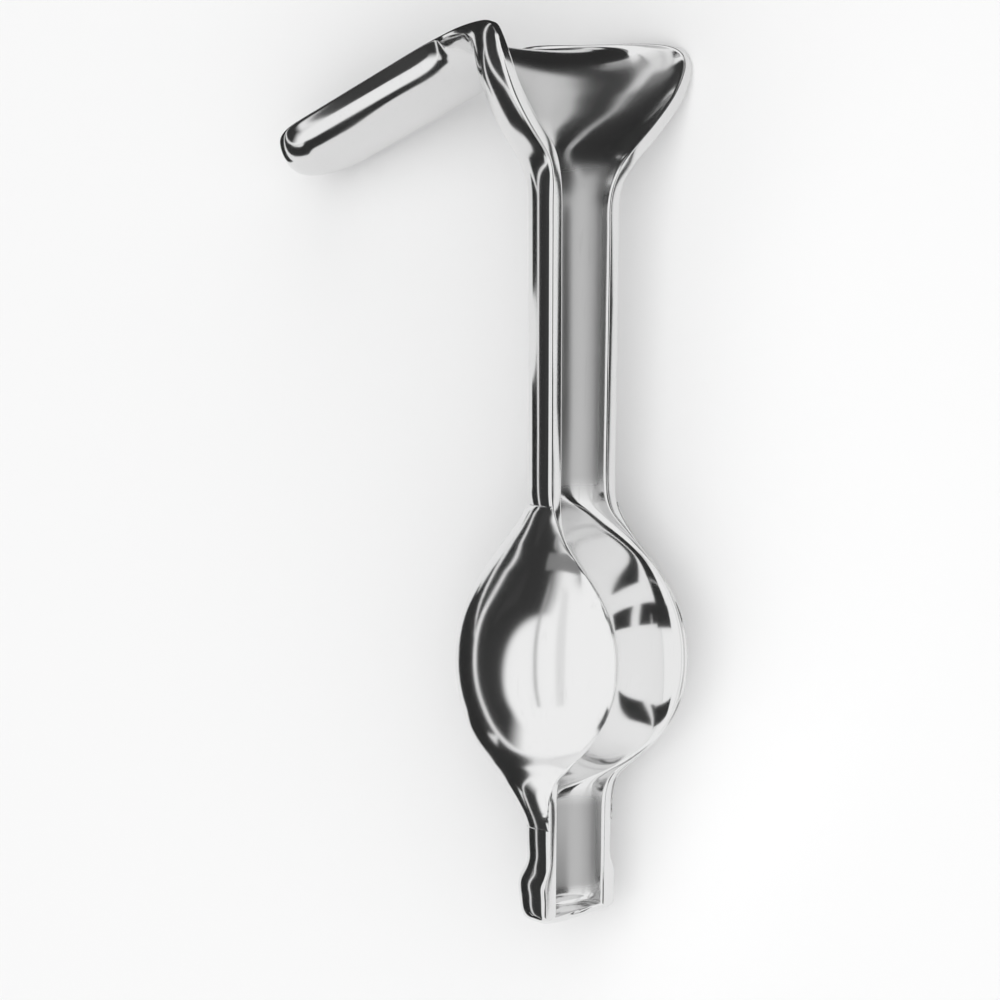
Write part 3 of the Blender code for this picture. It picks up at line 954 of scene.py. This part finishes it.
@dataclass(frozen=True)
class Lamp:
    """A softbox.

    Attributes:
        name: Its name.
        place: Where it stands.
        aim: What it points at.
        size: Its width and height.
        power: Its power in watts.
    """

    name: str
    place: tuple[float, float, float]
    aim: tuple[float, float, float]
    size: tuple[float, float]
    power: float

    def make(self) -> None:
        """Puts the lamp into the scene."""
        light = bpy.data.lights.new(self.name, "AREA")
        light.shape = "RECTANGLE"
        light.size, light.size_y = self.size
        light.energy = self.power
        made = bpy.data.objects.new(self.name, light)
        made.location = self.place
        made.rotation_euler = (Vector(self.aim) - Vector(self.place)).to_track_quat("-Z", "Y").to_euler()
        made.visible_glossy = False
        bpy.context.scene.collection.objects.link(made)


@dataclass(frozen=True)
class Card:
    """A plain panel of the studio that the steel mirrors and the camera doesn't see.

    Attributes:
        name: Its name.
        corners: Its corners in order.
        level: How bright it is, with nought for black velvet.
    """

    name: str
    corners: tuple[tuple[float, float, float], ...]
    level: float

    def make(self) -> None:
        """Puts the panel into the studio."""
        mesh = bpy.data.meshes.new(self.name)
        mesh.from_pydata(self.corners, [], [tuple(range(len(self.corners)))])
        made = object_of(self.name, mesh)
        material = bpy.data.materials.new(self.name)
        material.use_nodes = True
        nodes, links = material.node_tree.nodes, material.node_tree.links
        nodes.remove(nodes["Principled BSDF"])
        glow = nodes.new("ShaderNodeEmission")
        glow.inputs["Color"].default_value = (self.level, self.level, self.level, 1.0)
        links.new(glow.outputs[0], nodes["Material Output"].inputs["Surface"])
        mesh.materials.append(material)
        made.visible_camera = False
        made.visible_diffuse = False
        made.visible_shadow = False


def lying(name: str, *places: tuple[float, float]) -> Card:
    """A black panel that lies on the table, with its corners at these places."""
    return Card(name, tuple((x, y, TABLE_LIFT) for x, y in places), BLACK)


def flat(name: str, low: tuple[float, float], high: tuple[float, float]) -> Card:
    """A black oblong that lies on the table, from one corner to the other."""
    return lying(name, low, (high[0], low[1]), high, (low[0], high[1]))


def standing(
    name: str,
    foot: tuple[float, float, float, float],
    heights: tuple[float, float],
    level: float = BLACK,
) -> Card:
    """A panel that stands upright.

    Args:
        name: Its name.
        foot: Where it begins in X and in Y, and where it ends.
        heights: The heights of its lower and upper edge.
        level: How bright it is.

    Returns:
        The panel.
    """
    (x0, y0, x1, y1), (low, high) = foot, heights
    return Card(name, ((x0, y0, low), (x1, y1, low), (x1, y1, high), (x0, y0, high)), level)


def overhead(name: str, left: float, right: float, level: float) -> Card:
    """A strip that hangs over the table along the handle, like the gap between two softboxes."""
    front, back, height = -1.0, 1.4, 1.2
    corners = ((left, front, height), (left, back, height), (right, back, height), (right, front, height))
    return Card(name, corners, level)


@dataclass(frozen=True)
class Flag:
    """A black flag that stands beside the table, which the steel mirrors and the camera doesn't see.

    Attributes:
        name: Its name.
        turns: The angles between which it stands, from +X towards +Y.
        reach: How far from the weight it stands.
        height: How high it is.
        strips: From where to where in X the black strips lie on the table.
    """

    name: str
    turns: tuple[float, float]
    reach: float
    height: float
    strips: tuple[tuple[float, float], ...] = ()

    def make(self) -> None:
        """Puts the flag and its black strips on the table before it into the studio."""
        centre = Vector((0.045, -0.040, 0.0008))
        ways = [Vector((cos(radians(turn)), sin(radians(turn)), 0.0)) for turn in self.turns]
        one, two = (centre + way * self.reach for way in ways)
        heights = (centre.z, centre.z + self.height)
        standing(self.name, (one.x, one.y, two.x, two.y), heights).make()
        for index, strip in enumerate(self.strips):
            near, far = ([centre + way * ((x - centre.x) / way.x) for way in ways] for x in strip)
            Card(f"{self.name}_{index}", (near[0][:], near[1][:], far[1][:], far[0][:]), BLACK).make()


@dataclass
class Studio:
    """The white table, the sky of soft light round it and the camera.

    Attributes:
        lamps: The softboxes.
        cards: The panels that only the steel mirrors.
        flags: The black flags, with their strips on the table.
    """

    lamps: tuple[Lamp, ...] = (
        Lamp("key_softbox", (0.10, -0.05, 1.10), (0.0, 0.0, 0.0), (1.1, 1.1), 4.0),
    )
    cards: tuple[Card, ...] = (
        lying("unlit_table_left", (-0.9, -0.80), (-0.050, -0.085), (-0.050, -0.008), (-0.9, 0.02)),
        flat("unlit_table_front", (-0.16, -0.22), (-0.030, -0.080)),
        standing("low_flag_front", (-0.16, -0.22, -0.030, -0.22), (0.0, 0.042)),
        flat("unlit_table_far", (0.095, 0.116), (0.170, 0.142)),
        standing("back_flag", (-0.10, 0.35, 0.26, 0.35), (0.0, 0.16)),
        standing("back_scrim", (-0.10, 0.35, 0.20, 0.35), (0.16, 0.30), 0.25),
        standing("side_scrim", (0.275, 0.155, 0.205, 0.28), (0.0, 0.11), 0.45),
        standing("low_flag_right", (0.150, -0.012, 0.150, 0.088), (0.014, 0.076)),
        Card(
            "blade_shade",
            ((-0.151, 0.085, 0.132), (-0.076, 0.115, 0.132), (-0.026, 0.016, 0.103), (-0.101, -0.014, 0.103)),
            0.05,
        ),
        flat("unlit_table_middle", (-0.5, -0.012), (-0.068, 0.024)),
        flat("unlit_table_corner", (-0.9, 0.05), (-0.085, 0.128)),
        flat("unlit_table_back", (-0.9, 0.128), (0.45, 0.9)),
        overhead("softbox_gap", -0.31, -0.24, 0.42),
        overhead("softbox_fold", 0.15, 0.34, 0.86),
    )
    flags: tuple[Flag, ...] = (
        Flag("flag_right", (18.0, 36.0), 0.115, 0.078, ((0.070, 0.091), (0.103, 0.145))),
        Flag("flag_back", (52.0, 74.0), 0.20, 0.09, ((0.070, 0.091),)),
        Flag("flag_front", (-62.0, -44.0), 0.12, 0.07, ((0.070, 0.091), (0.103, 0.125))),
    )
    floor_size: float = 6.0
    floor_colour: float = 0.88
    sky_level: float = 1.05
    unlit_level: float = 0.04
    unlit_side: tuple[float, float, float] = (-0.95, 0.31, 0.0)
    unlit_edge: tuple[float, float] = (0.15, 0.45)
    unlit_low: tuple[float, float] = (0.03, 0.07)
    unlit_tilt: tuple[float, float, float] = (0.0, -0.30, 1.0)
    unlit_high: tuple[float, float] = (0.74, 0.63)
    camera_place: Vector = field(default_factory=lambda: Vector((0.3237868, -0.00712292, 0.79220745)))
    camera_right: Vector = field(default_factory=lambda: Vector((0.92417108, 0.03113351, -0.38070750)))
    camera_up: Vector = field(default_factory=lambda: Vector((-0.02864179, 0.99951508, 0.01221016)))
    camera_back: Vector = field(default_factory=lambda: Vector((0.38090309, -0.00038013, 0.92461481)))
    focal_share: float = 3.12056

    def floor(self) -> None:
        """The white table top."""
        half = self.floor_size / 2
        mesh = bpy.data.meshes.new("table_top")
        corners = [(-half, -half, 0.0), (half, -half, 0.0), (half, half, 0.0), (-half, half, 0.0)]
        mesh.from_pydata(corners, [], [(0, 1, 2, 3)])
        made = object_of("table_top", mesh)
        material = bpy.data.materials.new("table_top")
        material.use_nodes = True
        shader = material.node_tree.nodes["Principled BSDF"]
        shader.inputs["Base Color"].default_value = (self.floor_colour,) * 3 + (1.0,)
        shader.inputs["Roughness"].default_value = 0.9
        shader.inputs["Specular IOR Level"].default_value = 0.0
        mesh.materials.append(material)

    def world(self) -> None:
        """Soft light from all round, with the unlit side of the studio to the left and behind."""
        world = bpy.data.worlds.new("studio")
        bpy.context.scene.world = world
        world.use_nodes = True
        tree = world.node_tree
        sky = tree.nodes["Background"].inputs
        sky["Color"].default_value = WHITE

        def dot(way: tuple[float, float, float]) -> Socket:
            """How far the view looks along a way."""
            made = tree.nodes.new("ShaderNodeVectorMath")
            made.operation = "DOT_PRODUCT"
            feed(tree, made.inputs, (direction, way))
            return made.outputs["Value"]

        def stepped(given: Socket, low: float, high: float) -> Socket:
            """A smooth step of the value from low to high."""
            made = node_in(tree, "ShaderNodeMapRange", Value=given, From_Min=low, From_Max=high)
            made.interpolation_type = "SMOOTHSTEP"
            return made.outputs[0]

        direction = tree.nodes.new("ShaderNodeTexCoord").outputs["Generated"]
        height = node_in(tree, "ShaderNodeSeparateXYZ", Vector=direction).outputs["Z"]
        low, high = stepped(height, *self.unlit_low), stepped(dot(self.unlit_tilt), *self.unlit_high)
        band = maths_in(tree, "MULTIPLY", low, high)
        unlit = maths_in(tree, "MULTIPLY", band, stepped(dot(self.unlit_side), *self.unlit_edge))
        level = maths_in(tree, "MULTIPLY_ADD", unlit, self.unlit_level - self.sky_level, self.sky_level)
        seen = tree.nodes.new("ShaderNodeLightPath").outputs["Is Camera Ray"]
        tree.links.new(maths_in(tree, "MAXIMUM", level, seen), sky["Strength"])

    def camera(self) -> None:
        """The camera at the photograph's own place and angle."""
        data = bpy.data.cameras.new("camera")
        film = 36.0
        data.sensor_width = film
        data.lens = film * self.focal_share
        data.clip_start = 0.01
        made = bpy.data.objects.new("camera", data)
        turn = Matrix((self.camera_right, self.camera_up, self.camera_back)).transposed().to_4x4()
        made.matrix_world = Matrix.Translation(self.camera_place) @ turn
        bpy.context.scene.collection.objects.link(made)
        bpy.context.scene.camera = made

    def make(self) -> None:
        """Sets the whole studio up."""
        bpy.context.scene.view_settings.view_transform = "Standard"
        self.floor()
        self.world()
        for thing in (*self.lamps, *self.cards, *self.flags):
            thing.make()
        self.camera()


@dataclass
class Speculum:
    """The whole speculum: the pressed piece and the weight brazed to its back."""

    gutter: Gutter = field(default_factory=lambda: Gutter(Weight()))
    place: RestingPlace = field(default_factory=RestingPlace)

    def make(self) -> None:
        """Makes both pieces, lays them down and gives them their steel."""
        polish = hand_polish()
        blade = Blade()
        pressed = PressedPiece(blade, Flange(blade), self.gutter)
        course = pressed.course()
        whole = object_of("blade_and_gutter_piece", pressed.mesh(course))
        whole.data.materials.append(POLISHED.material(polish))
        egg = self.egg(course, GROUND.material(polish))
        laid = self.place.matrix()
        for made, node, finish in ((whole, "blade_and_gutter", POLISHED), (egg, "weight", GROUND)):
            made.data.transform(laid)
            made.data.update()
            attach(made, ROOT)
            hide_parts(node)
            log.info("%s: %d faces", made.name, len(made.data.polygons))

    def egg(self, course: list[Section], steel: bpy.types.Material) -> bpy.types.Object:
        """The weight, baked from its tree.

        Args:
            course: The pressed piece's sections.
            steel: The weight's material.

        Returns:
            The weight's object, upright still.
        """
        weight = self.gutter.weight
        made = object_of("egg_weight", weight_line(self.gutter, course))
        tree = WeightTree().build()
        modifier = made.modifiers.new("wrap", "NODES")
        modifier.node_group = tree
        values = {
            "Rows": weight.rows,
            "Columns": weight.columns,
            "Seam": weight.seam,
            "Edge Wall": weight.edge_wall,
            "Rim Blend": weight.rim_blend,
            "Steel": steel,
        }
        for item in tree.interface.items_tree:
            if item.item_type == "SOCKET" and item.in_out == "INPUT" and item.name in values:
                modifier[item.identifier] = values[item.name]
        bpy.context.view_layer.update()
        shape = bpy.data.meshes.new_from_object(made.evaluated_get(bpy.context.evaluated_depsgraph_get()))
        made.modifiers.remove(modifier)
        made.data = shape
        build = bmesh.new()
        build.from_mesh(shape)
        bmesh.ops.remove_doubles(build, verts=build.verts, dist=MERGE_REACH)
        bmesh.ops.recalc_face_normals(build, faces=build.faces)
        build.to_mesh(shape)
        build.free()
        shape.shade_smooth()
        return made


def main() -> None:
    """Makes the speculum and its studio."""
    logging.basicConfig(level=logging.INFO, format="%(name)s %(message)s")
    Speculum().make()
    Studio().make()


if __name__ == "__main__":
    main()
